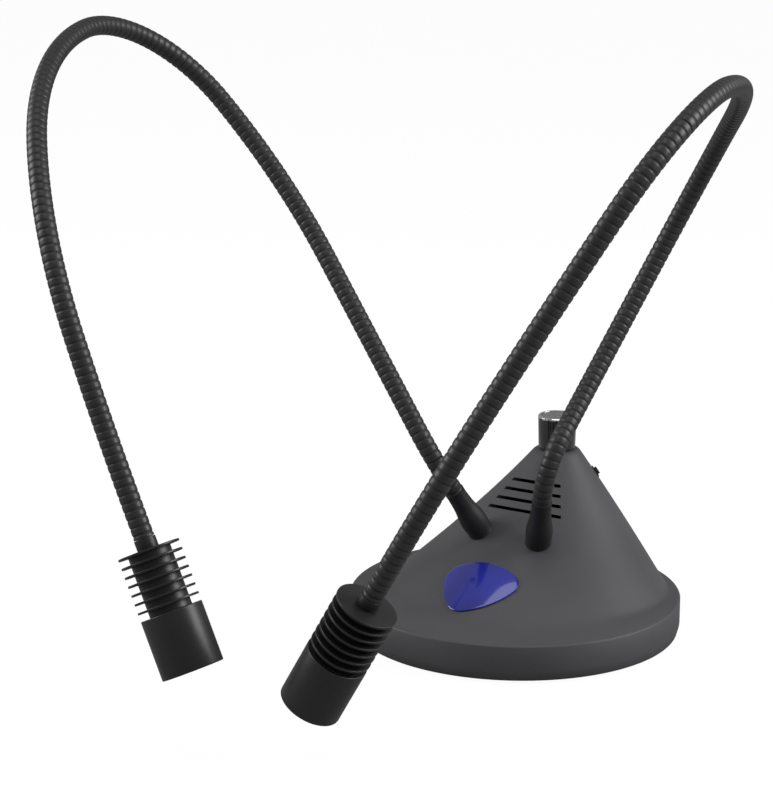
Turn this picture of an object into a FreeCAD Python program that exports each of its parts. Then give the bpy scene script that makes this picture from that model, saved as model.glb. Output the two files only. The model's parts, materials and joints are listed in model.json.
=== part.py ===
import FreeCAD, Part
import math
import os
import re
import Sketcher

# Twin-gooseneck LED illuminator: a leaning conical base with a dimmer knob on its top, and two ribbed
# goosenecks that each end in a finned LED head. Millimetres, +Z up; the front faces -Y and the base stands
# on z = 0.

Vector = FreeCAD.Vector
Placement = FreeCAD.Placement
Rotation = FreeCAD.Rotation
UP = Vector(0, 0, 1)

doc = FreeCAD.newDocument("TwinGooseneckIlluminator")
sheet = doc.addObject("Spreadsheet::Sheet", "Sizes")

# Driving dimensions. A value with "=" follows from others.
SIZES = {
    # anti-slip pad, bottom plate and ballast
    "pad_radius": 66.0,
    "pad_thickness": 1.4,
    "plate_radius": 67.5,
    "plate_thickness": 2.0,
    "plate_top": "=pad_thickness + plate_thickness",
    "ballast_radius": 54.0,
    "ballast_thickness": 10.0,
    "ballast_top": "=plate_top + ballast_thickness",
    "ballast_screw_circle": 30.0,
    "screw_circle": 60.5,
    "screw_shank_radius": 1.5,
    "screw_head_radius": 3.0,
    "screw_head_height": 1.5,
    "screw_length": 9.0,
    "boss_radius": 4.0,
    # rim and shoulder of the moulded shell
    "rim_radius": 70.0,
    "rim_foot_radius": 69.0,
    "rim_foot_height": 1.0,
    "rim_flare_height": 4.5,
    "rim_top_height": 15.2,
    "rim_edge_radius": 69.3,
    "rim_edge_height": 15.9,
    "rim_wall": 2.2,
    "shoulder_radius": 50.0,
    "shoulder_height": 17.2,
    "shoulder_underside": 13.7,
    # cone: three circles, each further back than the one below it
    "cone_low_radius": 60.2,
    "cone_low_back": 9.0,
    "cone_low_height": 15.9,
    "cone_mid_radius": 33.1,
    "cone_mid_back": 24.7,
    "cone_mid_height": 43.8,
    "cone_top_radius": 9.55,
    "cone_top_back": 33.4,
    "cone_top_height": 71.1,
    "cone_wall": 3.0,
    "cone_roof": 2.5,
    # the shell's front (vents, badge and arm roots) is turned a little to the right
    "front_turn": 2.5,
    # vent slots across the upper front, which fall towards the inside
    "vent_count": 4,
    "vent_gap": 1.25,
    "vent_pitch": 3.4,
    "vent_top_height": 60.1,
    "vent_half_angle": 42.3,
    "vent_drop": 0.29,
    # badge on the front
    "badge_back": -33.3,
    "badge_height": 26.9,
    "badge_lean": 32.1,
    "badge_proud": 1.2,
    "badge_axis_back": 17.25,
    "badge_depth": 16.0,
    "badge_corner_across": 11.2,
    "badge_corner_up": 4.3,
    "badge_corner_radius": 5.4,
    "badge_tip_down": 9.0,
    "badge_tip_radius": 6.2,
    "badge_crown": 12.2,
    # knob and potentiometer
    "knob_gap": 0.8,
    "knob_bottom": "=cone_top_height + knob_gap",
    "knob_height": 14.0,
    "knob_top": "=knob_bottom + knob_height",
    "knob_radius": 8.25,
    "knob_foot_radius": 7.9,
    "knob_recess_radius": 6.3,
    "knob_recess_depth": 2.7,
    "knob_ring_height": 1.0,
    "knob_cap_radius": 7.2,
    "knob_cap_sunk": 0.3,
    "knob_cap_thickness": 1.0,
    "shaft_radius": 2.95,
    "shaft_bottom": 61.3,
    "shaft_top": 83.0,
    "shaft_bore_radius": 3.0,
    "pot_radius": 6.0,
    "pot_bottom": 60.6,
    "bushing_radius": 3.5,
    "bushing_top": 73.6,
    "bushing_hole_radius": 3.6,
    "pot_nut_across": 10.0,
    "pot_nut_height": 2.0,
    # push switch, on the front right of the cone
    "switch_across": 13.81,
    "switch_back": 42.84,
    "switch_height": 60.5,
    "switch_turn": 131.0,
    "switch_rise": 33.3,
    "switch_body_radius": 3.2,
    "switch_neck_radius": 2.4,
    "switch_hole_radius": 2.45,
    "switch_bezel_radius": 2.8,
    "switch_bezel_proud": 0.5,
    "switch_bore_radius": 1.75,
    "button_radius": 1.7,
    "button_proud": 1.5,
    "button_travel": 1.2,
    # power inlet at the rear
    "inlet_back": 64.98,
    "inlet_height": 28.0,
    "inlet_rise": 22.7,
    "inlet_flange_radius": 5.8,
    "inlet_proud": 1.4,
    "inlet_body_radius": 4.0,
    "inlet_hole_radius": 4.1,
    "inlet_length": 14.0,
    "inlet_bore_radius": 3.15,
    "inlet_bore_depth": 9.0,
    "inlet_pin_radius": 1.05,
    "inlet_boss_radius": 7.2,
    "inlet_boss_depth": 4.4,
    "inlet_nut_across": 11.0,
    "inlet_nut_height": 2.2,
    # driver board on its standoffs
    "board_length": 46.0,
    "board_width": 36.0,
    "board_thickness": 1.6,
    "board_back": 8.0,
    "board_inset": 4.0,
    "standoff_height": 6.0,
    "standoff_across": 5.0,
    "board_bottom": "=ballast_top + standoff_height",
    "board_top": "=board_bottom + board_thickness",
    # arm roots on the cone
    "root_half_angle": 23.7,
    "root_circle_radius": 34.56,
    "root_circle_back": 24.11,
    "root_height": 42.3,
    "left_root_turn": -25.2,
    "left_root_tilt": 35.0,
    "right_root_turn": 33.5,
    "right_root_tilt": 30.0,
    "root_hole_radius": 4.1,
    "root_socket_radius": 7.2,
    "root_socket_depth": 9.0,
    "root_nut_across": 12.0,
    "root_nut_height": 3.0,
    "ferrule_radius": 4.0,
    "ferrule_proud": 3.0,
    "ferrule_length": 18.0,
    "boot_length": 24.0,
    "boot_foot_bore_radius": 4.05,
    "boot_bore_radius": 3.82,
    # gooseneck
    "hose_radius": 4.0,
    "hose_groove_radius": 3.45,
    "hose_bore_radius": 2.3,
    "hose_end_radius": 3.8,
    "hose_tip_radius": 3.6,
    "hose_straight": 26.0,
    "hose_tip": 14.0,
    "hose_land": 0.32,
    "first_span": 30.0,
    "first_span_ribs": 4,
    "span": 83.0,
    "span_ribs": 7,
    "ball_seat_radius": 4.05,
    # head
    "collar_radius": 4.18,
    "collar_bore_radius": 3.62,
    "collar_length": 4.2,
    "fin_radius": 12.0,
    "fin_count": 7,
    "fin_pitch": 3.5,
    "fin_thickness": 0.9,
    "core_radius": 8.3,
    "core_length": "=fin_count * fin_pitch",
    "spigot_radius": 10.5,
    "spigot_length": 4.0,
    "snout_radius": 12.0,
    "snout_inner_radius": 10.6,
    "head_length": 48.0,
    "snout_chamfer": 0.4,
    "led_board_radius": 10.2,
    "led_board_thickness": 1.6,
    "led_base_radius": 3.5,
    "led_base_height": 1.2,
    "led_dome_radius": 2.6,
    "lens_radius": 10.4,
    "lens_face": 45.0,
    "lens_sphere_radius": 14.0,
    "lens_sphere_past_face": 6.0,
    "lens_ring_inner_radius": 9.3,
    "lens_ring_height": 1.6,
}

# Way that each gooseneck points at the end of each of its seven spans, in degrees: turned from the front
# towards the right, and raised above level. The first span is short, the other six are alike.
ROUTES = {
    "left": [(-96.7, 52.8), (-100.7, 50.5), (-72.2, 48.6), (14.0, -6.7), (42.0, -44.0), (86.7, -66.9),
             (85.9, -63.4)],
    "right": [(177.7, 40.9), (145.9, 59.5), (38.0, 28.0), (12.8, 2.2), (-47.5, -56.2), (-41.2, -56.1),
              (-82.7, -60.4)],
}
SIDES = {"left": -1, "right": 1}
SPANS = range(1, 8)
# Radius of each rubber boot at distances from the cone.
BOOT_PROFILE = [(-6, 5.2), (0, 5.45), (5, 5.65), (9, 5.45), (12, 4.95), (15, 4.5), (18, 4.3), (24, 4.25)]

for side, directions in ROUTES.items():
    for number, (turn, rise) in enumerate(directions, 1):
        SIZES[f"{side}_turn_{number}"] = turn
        SIZES[f"{side}_rise_{number}"] = rise

for row, (alias, size) in enumerate(SIZES.items(), 1):
    sheet.set(f"A{row}", alias)
    sheet.set(f"B{row}", str(size))
    sheet.setAlias(f"B{row}", alias)
doc.recompute()


def ref(text):
    """A sheet formula as another object writes it: every alias gets the sheet's name."""
    def named(word):
        return f"Sizes.{word[0]}" if word[0] in SIZES else word[0]

    return re.sub(r"[a-z][a-z_0-9]*", named, str(text))


def val(text):
    """The number that a sheet formula comes to."""
    return float(sheet.evalExpression(str(text)))


def bind(thing, **formulas):
    """Drives the named properties of an object from the sheet."""
    for name, formula in formulas.items():
        thing.setExpression(name.replace("__", "."), ref(formula))
    return thing


def direction(turn, rise):
    """Unit vector turned from the front towards the right and raised above level, both in degrees."""
    turn, rise = math.radians(turn), math.radians(rise)
    return Vector(math.sin(turn) * math.cos(rise), -math.cos(turn) * math.cos(rise), math.sin(rise))


def seat(point, way):
    """Placement at a point whose own Z looks along a direction."""
    return Placement(point, Rotation(UP, way))


def shifted(frame, distance):
    return frame.multiply(Placement(UP * distance, Rotation()))


# Modelling helpers
def sketch_on(body, role, name):
    drawing = body.newObject("Sketcher::SketchObject", name)
    plane = [item for item in body.Origin.OriginFeatures if item.Role == role][0]
    drawing.AttachmentSupport = [(plane, "")]
    drawing.MapMode = "FlatFace"
    return drawing


def drive_point(drawing, line, across, up):
    """Holds the first end of a sketch line at two sheet formulas."""
    for kind, formula, axis in (("DistanceX", across, -2), ("DistanceY", up, -1)):
        if val(formula) == 0:
            drawing.addConstraint(Sketcher.Constraint("PointOnObject", line, 1, axis))
            continue
        index = drawing.addConstraint(Sketcher.Constraint(kind, -1, 1, line, 1, val(formula)))
        drawing.setExpression(f"Constraints[{index}]", ref(formula))


def revolve(body, name, outline, sweep="360"):
    """Adds a closed outline of (radius, height) formulas, swept about the body's Z to both sides of its X."""
    drawing = sketch_on(body, "XZ_Plane", name + "_outline")
    corners = [Vector(val(radius), val(height), 0) for radius, height in outline]
    count = len(corners)
    for index in range(count):
        drawing.addGeometry(Part.LineSegment(corners[index], corners[(index + 1) % count]), False)
    for index in range(count):
        drawing.addConstraint(Sketcher.Constraint("Coincident", index, 2, (index + 1) % count, 1))
    for index, (radius, height) in enumerate(outline):
        drive_point(drawing, index, radius, height)
    turn = body.newObject("PartDesign::Revolution", name + "_turn")
    turn.Profile = drawing
    turn.ReferenceAxis = (drawing, ["V_Axis"])
    turn.Midplane = True
    bind(turn, Angle=sweep)
    body.Tip = turn
    return turn


def turned(name, outline, frame=Placement(), sweep="360"):
    body = doc.addObject("PartDesign::Body", name)
    revolve(body, name, outline, sweep)
    body.Placement = frame
    return body


def ring_outline(inner, outer, low, high):
    return [(inner, low), (outer, low), (outer, high), (inner, high)]


def cylinder(name, radius, low, high, frame=Placement()):
    """Cylinder between two distances along a frame's Z."""
    rod = doc.addObject("Part::Cylinder", name)
    bind(rod, Radius=radius, Height=f"({high}) - ({low})")
    rod.Placement = shifted(frame, val(low))
    return rod


def ball(name, radius, frame, distance=0):
    sphere = doc.addObject("Part::Sphere", name)
    bind(sphere, Radius=radius)
    sphere.Placement = shifted(frame, val(distance))
    return sphere


def prism(name, across_flats, low, high, frame=Placement()):
    """Hexagonal prism, for nuts and standoffs."""
    nut = doc.addObject("Part::Prism", name)
    nut.Polygon = 6
    bind(nut, Circumradius=f"({across_flats}) / sqrt(3)", Height=f"({high}) - ({low})")
    nut.Placement = shifted(frame, val(low))
    return nut


def fuse(name, pieces):
    joined = doc.addObject("Part::MultiFuse", name)
    joined.Shapes = pieces
    joined.Refine = True
    return joined


def common(name, pieces):
    shared = doc.addObject("Part::MultiCommon", name)
    shared.Shapes = pieces
    return shared


def cut(name, base, tools):
    result = base
    tools = tools if isinstance(tools, list) else [tools]
    for number, tool in enumerate(tools, 1):
        last = number == len(tools)
        step = doc.addObject("Part::Cut", name if last else f"{name}_cut_{number}")
        step.Base = result
        step.Tool = tool
        result = step
    return result


def group(name, pieces):
    """Like pieces that share a node, each still a solid of its own."""
    row = doc.addObject("Part::Compound", name)
    row.Links = pieces
    return row


def loft(name, sections):
    """Smooth loft through circles given as (radius formula, placement, placement formulas)."""
    circles = []
    for number, (radius, frame, formulas) in enumerate(sections, 1):
        circle = doc.addObject("Part::Circle", f"{name}_circle_{number}")
        circle.Placement = frame
        bind(circle, Radius=radius, **formulas)
        circles.append(circle)
    skin = doc.addObject("Part::Loft", name)
    skin.Sections = circles
    skin.Solid = True
    skin.Ruled = False
    return skin


def leaning_circle(radius, back, height):
    return radius, Placement(), {"Placement__Base__y": back, "Placement__Base__z": height}


def around(count, radius, start=0.0):
    """Upright placements spread evenly on a circle about Z."""
    places = []
    for number in range(count):
        angle = math.radians(start) + 2 * math.pi * number / count
        places.append(Placement(Vector(radius * math.cos(angle), radius * math.sin(angle), 0), Rotation()))
    return places


# Frames on the cone
KNOB_FRAME = Placement(Vector(0, val("cone_top_back"), 0), Rotation())
SWITCH_FRAME = seat(Vector(val("switch_across"), val("switch_back"), val("switch_height")),
                    direction(val("switch_turn"), val("switch_rise")))
INLET_FRAME = seat(Vector(0, val("inlet_back"), val("inlet_height")), direction(180, val("inlet_rise")))
FRONT = Rotation(UP, val("front_turn"))
BADGE_FRAME = Placement(Vector(), FRONT, Vector(0, val("badge_axis_back"), 0)).multiply(
    Placement(Vector(0, val("badge_back"), val("badge_height")),
              Rotation(Vector(1, 0, 0), val("badge_lean"))))
ROOT_FRAMES = {}
for side, sign in SIDES.items():
    root_angle = math.radians(sign * val("root_half_angle") + val("front_turn"))
    root_point = Vector(val("root_circle_radius") * math.sin(root_angle),
                        val("root_circle_back") - val("root_circle_radius") * math.cos(root_angle),
                        val("root_height"))
    root_way = direction(val(f"{side}_root_turn + front_turn"), val(f"90 - {side}_root_tilt"))
    ROOT_FRAMES[side] = seat(root_point, root_way)

# Moulded shell: rim, shoulder and leaning cone
rim_form = turned("rim_form", [
    (0, "rim_foot_height"), ("rim_foot_radius", "rim_foot_height"), ("rim_radius", "rim_flare_height"),
    ("rim_radius", "rim_top_height"), ("rim_edge_radius", "rim_edge_height"),
    ("shoulder_radius", "shoulder_height"), (0, "shoulder_height")])
cone_form = loft("cone_form", [
    leaning_circle("cone_low_radius", "cone_low_back", "cone_low_height"),
    leaning_circle("cone_mid_radius", "cone_mid_back", "cone_mid_height"),
    leaning_circle("cone_top_radius", "cone_top_back", "cone_top_height")])
outer_form = fuse("outer_form", [rim_form, cone_form])

rim_hollow = cylinder("rim_hollow", "rim_radius - rim_wall", 0, "shoulder_underside")
cone_hollow = loft("cone_hollow", [
    leaning_circle("cone_low_radius - cone_wall", "cone_low_back", "shoulder_underside - 0.2"),
    leaning_circle("cone_mid_radius - cone_wall", "cone_mid_back", "cone_mid_height - 0.8"),
    leaning_circle("cone_top_radius - cone_wall + 0.4", "cone_top_back", "cone_top_height - cone_roof")])
shell_walls = cut("shell_walls", outer_form, [rim_hollow, cone_hollow])

SCREW_PLACES = around(4, val("screw_circle"), 45)
bosses = [cylinder(f"boss_{number}", "boss_radius", "plate_top", "24", place)
          for number, place in enumerate(SCREW_PLACES, 1)]
sockets = [cylinder(f"{side}_root_socket", "root_socket_radius", "-root_socket_depth", "6", frame)
           for side, frame in ROOT_FRAMES.items()]
sockets.append(cylinder("inlet_boss", "inlet_boss_radius", "-inlet_boss_depth", "2", INLET_FRAME))
moulded_inside = common("moulded_inside", [fuse("bosses_and_sockets", bosses + sockets), outer_form])

openings = []
for number in range(int(val("vent_count"))):
    # each vent is a thin slice of a funnel that reaches through the front wall only
    height = f"(vent_top_height - {number} * vent_pitch)"
    share = f"({height} - cone_mid_height) / (cone_top_height - cone_mid_height)"
    surface = f"(cone_mid_radius + (cone_top_radius - cone_mid_radius) * {share})"
    back = f"cone_mid_back + (cone_top_back - cone_mid_back) * {share}"
    inner = f"{height} - {surface} * vent_drop"
    outer = f"{height} + (cone_mid_radius - {surface}) * vent_drop"
    openings.append(turned(f"vent_{number + 1}", [
        (0, f"{inner} - vent_gap / 2"), ("cone_mid_radius", f"{outer} - vent_gap / 2"),
        ("cone_mid_radius", f"{outer} + vent_gap / 2"), (0, f"{inner} + vent_gap / 2")],
        Placement(Vector(0, val(back), 0), Rotation(UP, val("front_turn") - 90)), "2 * vent_half_angle"))
for number, place in enumerate(SCREW_PLACES, 1):
    openings.append(cylinder(f"boss_hole_{number}", "screw_shank_radius", "plate_top - 1", "plate_top + 10",
                             place))
for side, frame in ROOT_FRAMES.items():
    openings.append(cylinder(f"{side}_root_hole", "root_hole_radius", "-root_socket_depth - 3", "8", frame))
openings.append(cylinder("switch_hole", "switch_hole_radius", "-8", "4", SWITCH_FRAME))
openings.append(cylinder("inlet_hole", "inlet_hole_radius", "-8", "4", INLET_FRAME))
openings.append(cylinder("bushing_hole", "bushing_hole_radius", "cone_top_height - 6", "cone_top_height + 2",
                         KNOB_FRAME))
base_shell = cut("base_shell", fuse("shell_with_bosses", [shell_walls, moulded_inside]), openings)

# Plate, pad, ballast and their screws
BALLAST_PLACES = around(3, val("ballast_screw_circle"), 90)
screw_clearance = "screw_shank_radius + 0.3"
plate_holes = [cylinder(f"plate_hole_{number}", screw_clearance, "pad_thickness", "plate_top", place)
               for number, place in enumerate(SCREW_PLACES + BALLAST_PLACES, 1)]
plate_disc = cylinder("plate_disc", "plate_radius", "pad_thickness", "plate_top")
base_plate = cut("base_plate", plate_disc, plate_holes)

pad_holes = [cylinder(f"pad_hole_{number}", "screw_head_radius + 0.6", 0, "pad_thickness", place)
             for number, place in enumerate(SCREW_PLACES + BALLAST_PLACES, 1)]
base_pad = cut("base_pad", cylinder("pad_disc", "pad_radius", 0, "pad_thickness"), pad_holes)

ballast_holes = [cylinder(f"ballast_hole_{number}", "screw_shank_radius", "plate_top", "plate_top + 8", place)
                 for number, place in enumerate(BALLAST_PLACES, 1)]
ballast_weight = cut("ballast_weight", cylinder("ballast_disc", "ballast_radius", "plate_top", "ballast_top"),
                     ballast_holes)


def screws(name, places, underside, length, way=1):
    """Pan-head screws that point up (way 1) or down (way -1) from the face that their heads rest on."""
    pieces = []
    for number, place in enumerate(places, 1):
        shank = ("screw_shank_radius", underside, f"({underside}) + {length}")
        head = ("screw_head_radius", f"({underside}) - screw_head_height * 0.9", underside)
        if way < 0:
            shank = ("screw_shank_radius", f"({underside}) - {length}", underside)
            head = ("screw_head_radius", underside, f"({underside}) + screw_head_height")
        pieces.append(fuse(f"{name}_{number}", [cylinder(f"{name}_shank_{number}", *shank, place),
                                                cylinder(f"{name}_head_{number}", *head, place)]))
    return group(name, pieces)


plate_screws = screws("plate_screws", SCREW_PLACES, "pad_thickness", "screw_length")
ballast_screws = screws("ballast_screws", BALLAST_PLACES, "pad_thickness", "screw_length")

# Badge: a rounded shield that lies on the cone


def badge_outline():
    """Two corner arcs, a bowed top and straight sides that meet in a rounded tip."""
    corner = Vector(val("badge_corner_across"), val("badge_corner_up"), 0)
    tip = Vector(0, -val("badge_tip_down"), 0)
    corner_radius = val("badge_corner_radius")
    tip_radius = val("badge_tip_radius")
    crown = val("badge_crown")
    rise = crown - corner.y
    crown_radius = (corner.x ** 2 + rise ** 2 - corner_radius ** 2) / (2 * (rise - corner_radius))
    crown_centre = Vector(0, crown - crown_radius, 0)
    along = (corner - tip)
    gap = along.Length
    along = along.normalize()
    lean = (tip_radius - corner_radius) / gap
    outward = along * lean + Vector(along.y, -along.x, 0) * math.sqrt(1 - lean ** 2)
    touch_top = corner + (corner - crown_centre).normalize() * corner_radius
    middle = ((corner - crown_centre).normalize() + outward).normalize()
    touch_side = corner + outward * corner_radius
    touch_tip = tip + outward * tip_radius

    def mirrored(point):
        return Vector(-point.x, point.y, 0)

    corner_middle = corner + middle * corner_radius
    edges = [
        Part.Arc(mirrored(touch_top), Vector(0, crown, 0), touch_top).toShape(),
        Part.Arc(touch_top, corner_middle, touch_side).toShape(),
        Part.LineSegment(touch_side, touch_tip).toShape(),
        Part.Arc(touch_tip, tip - Vector(0, tip_radius, 0), mirrored(touch_tip)).toShape(),
        Part.LineSegment(mirrored(touch_tip), mirrored(touch_side)).toShape(),
        Part.Arc(mirrored(touch_side), mirrored(corner_middle), mirrored(touch_top)).toShape(),
    ]
    return Part.Wire(edges)


badge_prism = doc.addObject("Part::Feature", "badge_prism")
badge_prism.Shape = Part.Face(badge_outline()).extrude(UP * val("badge_depth"))
badge_prism.Placement = shifted(BADGE_FRAME, -val("badge_depth") / 2)
badge_skin = loft("badge_skin", [
    leaning_circle("cone_low_radius", "cone_low_back - badge_proud * sin(badge_lean * 1deg)",
                   "cone_low_height + badge_proud * cos(badge_lean * 1deg)"),
    leaning_circle("cone_mid_radius", "cone_mid_back - badge_proud * sin(badge_lean * 1deg)",
                   "cone_mid_height + badge_proud * cos(badge_lean * 1deg)"),
    leaning_circle("cone_top_radius", "cone_top_back - badge_proud * sin(badge_lean * 1deg)",
                   "cone_top_height + badge_proud * cos(badge_lean * 1deg)")])
badge = cut("badge", common("badge_layer", [badge_prism, badge_skin]), outer_form)

# Dimmer: potentiometer, nut, shaft and knob
potentiometer = turned("dimmer_potentiometer", [
    (0, "pot_bottom"), ("pot_radius", "pot_bottom"), ("pot_radius", "cone_top_height - cone_roof"),
    ("bushing_radius", "cone_top_height - cone_roof"), ("bushing_radius", "bushing_top"),
    ("shaft_bore_radius", "bushing_top"), ("shaft_bore_radius", "shaft_bottom - 0.3"),
    (0, "shaft_bottom - 0.3")], KNOB_FRAME)
pot_nut_top = "cone_top_height + pot_nut_height"
potentiometer_nut = cut(
    "potentiometer_nut",
    prism("potentiometer_nut_hexagon", "pot_nut_across", "cone_top_height", pot_nut_top, KNOB_FRAME),
    cylinder("potentiometer_nut_bore", "bushing_radius", "cone_top_height", pot_nut_top, KNOB_FRAME))
potentiometer_shaft = turned("potentiometer_shaft", [
    (0, "shaft_bottom"), ("shaft_radius", "shaft_bottom"), ("shaft_radius", "shaft_top"), (0, "shaft_top")],
    KNOB_FRAME)
knob = turned("knob", [
    ("knob_recess_radius", "knob_bottom"), ("knob_foot_radius", "knob_bottom"),
    ("knob_radius", "knob_top - knob_ring_height"),
    ("knob_cap_radius", "knob_top - knob_ring_height"),
    ("knob_cap_radius", "knob_top - knob_cap_sunk - knob_cap_thickness"),
    (0, "knob_top - knob_cap_sunk - knob_cap_thickness"), (0, "shaft_top"), ("shaft_radius", "shaft_top"),
    ("shaft_radius", "knob_bottom + knob_recess_depth"),
    ("knob_recess_radius", "knob_bottom + knob_recess_depth")], KNOB_FRAME)
knob_ring = turned("knob_ring", [
    ("knob_cap_radius", "knob_top - knob_ring_height"), ("knob_radius", "knob_top - knob_ring_height"),
    ("knob_radius", "knob_top - 0.4"), ("knob_radius - 0.4", "knob_top"), ("knob_cap_radius", "knob_top")],
    KNOB_FRAME)
knob_cap = turned("knob_cap", [
    (0, "knob_top - knob_cap_sunk - knob_cap_thickness"),
    ("knob_cap_radius", "knob_top - knob_cap_sunk - knob_cap_thickness"),
    ("knob_cap_radius", "knob_top - knob_cap_sunk"), (0, "knob_top - knob_cap_sunk")], KNOB_FRAME)

# Push switch and its button
switch_bezel = cylinder("switch_bezel", "switch_bezel_radius", "-2", "switch_bezel_proud", SWITCH_FRAME)
switch_flange = cut("switch_flange", switch_bezel, outer_form)
power_switch = cut(
    "power_switch",
    fuse("switch_case", [
        switch_flange,
        cylinder("switch_neck", "switch_neck_radius", "-3.6", "switch_bezel_proud", SWITCH_FRAME),
        cylinder("switch_block", "switch_body_radius", "-9", "-3.6", SWITCH_FRAME)]),
    cylinder("switch_bore", "switch_bore_radius", "-6", "switch_bezel_proud + 1", SWITCH_FRAME))
switch_button = cylinder("switch_button", "button_radius", "-4", "button_proud", SWITCH_FRAME)

# Power inlet with its centre pin, and nut
inlet_collar = cylinder("inlet_collar", "inlet_flange_radius", "-4", "inlet_proud", INLET_FRAME)
inlet_flange = cut("inlet_flange", inlet_collar, outer_form)
inlet_barrel = cylinder("inlet_barrel", "inlet_body_radius", "-inlet_length", "inlet_proud", INLET_FRAME)
inlet_case = cut(
    "inlet_case", fuse("inlet_solid", [inlet_flange, inlet_barrel]),
    cylinder("inlet_bore", "inlet_bore_radius", "-inlet_bore_depth", "inlet_proud + 1", INLET_FRAME))
inlet_pin = cylinder("inlet_pin", "inlet_pin_radius", "-inlet_bore_depth - 1", "-1", INLET_FRAME)
dc_inlet = fuse("dc_inlet", [inlet_case, inlet_pin])
nut_low = "-inlet_boss_depth - inlet_nut_height"
nut_high = "-inlet_boss_depth"
inlet_nut = cut(
    "inlet_nut", prism("inlet_nut_hexagon", "inlet_nut_across", nut_low, nut_high, INLET_FRAME),
    cylinder("inlet_nut_bore", "inlet_body_radius", nut_low, nut_high, INLET_FRAME))

# Driver board, its standoffs, screws and parts
board_places = []
for across in (-1, 1):
    for back in (-1, 1):
        board_places.append(Placement(Vector(
            across * (val("board_length") / 2 - val("board_inset")),
            val("board_back") + back * (val("board_width") / 2 - val("board_inset")), 0), Rotation()))
board_blank = doc.addObject("Part::Box", "board_blank")
bind(board_blank, Length="board_length", Width="board_width", Height="board_thickness",
     Placement__Base__x="-board_length / 2", Placement__Base__y="board_back - board_width / 2",
     Placement__Base__z="board_bottom")
driver_board = cut("driver_board", board_blank, [
    cylinder(f"board_hole_{number}", screw_clearance, "board_bottom", "board_top", place)
    for number, place in enumerate(board_places, 1)])
standoffs = []
for number, place in enumerate(board_places, 1):
    post = prism(f"standoff_post_{number}", "standoff_across", "ballast_top", "board_bottom", place)
    hole = cylinder(f"standoff_hole_{number}", "screw_shank_radius", "board_bottom - 5", "board_bottom",
                    place)
    standoffs.append(cut(f"standoff_{number}", post, hole))
board_standoffs = group("board_standoffs", standoffs)
board_screws = screws("board_screws", board_places, "board_top", "5", way=-1)


def on_board(across, back):
    return Placement(Vector(across, val("board_back") + back, 0), Rotation())


driver_inductor = turned("driver_inductor", ring_outline("3.4", "8.5", "board_top", "board_top + 7"),
                         on_board(0, 7))
driver_capacitors = group("driver_capacitors", [
    cylinder(f"capacitor_{number}", "4", "board_top", "board_top + 12", on_board(across, 5))
    for number, across in enumerate((-14, 14), 1)])
transistors = []
for number, across in enumerate((-6.0, 1.5), 1):
    case = doc.addObject("Part::Box", f"transistor_{number}")
    bind(case, Length="4.5", Width="10", Height="6", Placement__Base__x=f"{across}",
         Placement__Base__y="board_back - 16", Placement__Base__z="board_top")
    transistors.append(case)
driver_transistors = group("driver_transistors", transistors)

# Arm roots: ferrule, nut, rubber boot, hose end
root_pieces = {}
root_nuts = []
for side, frame in ROOT_FRAMES.items():
    tube = ring_outline("hose_bore_radius", "ferrule_radius", 0, "ferrule_length")
    ferrule = turned(f"{side}_root_ferrule", tube, shifted(frame, val("ferrule_proud - ferrule_length")))
    low = "-root_socket_depth - root_nut_height"
    high = "-root_socket_depth"
    hexagon = prism(f"{side}_root_nut_hexagon", "root_nut_across", low, high, frame)
    bore = cylinder(f"{side}_root_nut_bore", "ferrule_radius", low, high, frame)
    root_nuts.append(cut(f"{side}_root_nut", hexagon, bore))
    # the boot swells towards the cone and is trimmed to lie on it
    bell = loft(f"{side}_boot_bell", [
        (radius, shifted(frame, distance), {}) for distance, radius in BOOT_PROFILE])
    boot = cut(f"{side}_boot", bell, [
        outer_form,
        cylinder(f"{side}_boot_foot_bore", "boot_foot_bore_radius", "-8", "ferrule_proud + 0.2", frame),
        cylinder(f"{side}_boot_bore", "boot_bore_radius", "ferrule_proud", "boot_length + 1", frame)])
    # straight hose in the boot, which ends in the ball that the first span turns on
    straight = turned(f"{side}_hose_straight", [
        ("hose_bore_radius", "ferrule_proud"), ("hose_end_radius", "ferrule_proud"),
        ("hose_end_radius", "boot_length + 0.2"), ("hose_radius", "boot_length + 0.2"),
        ("hose_groove_radius", "hose_straight"), ("hose_bore_radius", "hose_straight")], frame)
    half_ball = ball(f"{side}_root_ball_solid", "hose_groove_radius", frame, "hose_straight")
    half_ball.Angle1 = 0
    ball_bore = cylinder(f"{side}_root_ball_bore", "hose_bore_radius", "hose_straight", "hose_straight + 5",
                         frame)
    root_ball = cut(f"{side}_root_ball", half_ball, ball_bore)
    hose_root = fuse(f"{side}_gooseneck_root", [straight, root_ball])
    root_pieces[side] = [ferrule, boot, hose_root]
root_nuts = group("root_nuts", root_nuts)

# Ribbed goosenecks, in seven spans each


class Bend:
    """One span's centreline: an arc that leaves along one direction and arrives along the next."""

    def __init__(self, start, leaving, arriving, length):
        self.start = start
        self.leaving = leaving
        self.length = length
        self.angle = leaving.getAngle(arriving)
        self.axis = leaving.cross(arriving).normalize()
        self.inward = self.axis.cross(leaving)
        self.radius = length / self.angle

    def at(self, distance):
        """Point and direction at a distance along the arc."""
        turn = distance / self.radius
        point = self.start + self.inward * (self.radius * (1 - math.cos(turn)))
        point = point + self.leaving * (self.radius * math.sin(turn))
        return point, self.leaving * math.cos(turn) + self.inward * math.sin(turn)

    def circle(self, distance, radius):
        """Circle round the arc whose own X stays on the bend's axis."""
        point, way = self.at(distance)
        ring = Part.makeCircle(radius)
        ring.Placement = Placement(point, Rotation(self.axis, Vector(), way, "ZXY"))
        return Part.Wire(ring)

    def bore(self, radius, steps):
        """The hollow along the arc."""
        sections = [self.circle(self.length * step / steps, radius) for step in range(steps + 1)]
        return Part.makeLoft(sections, True, True)


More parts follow.
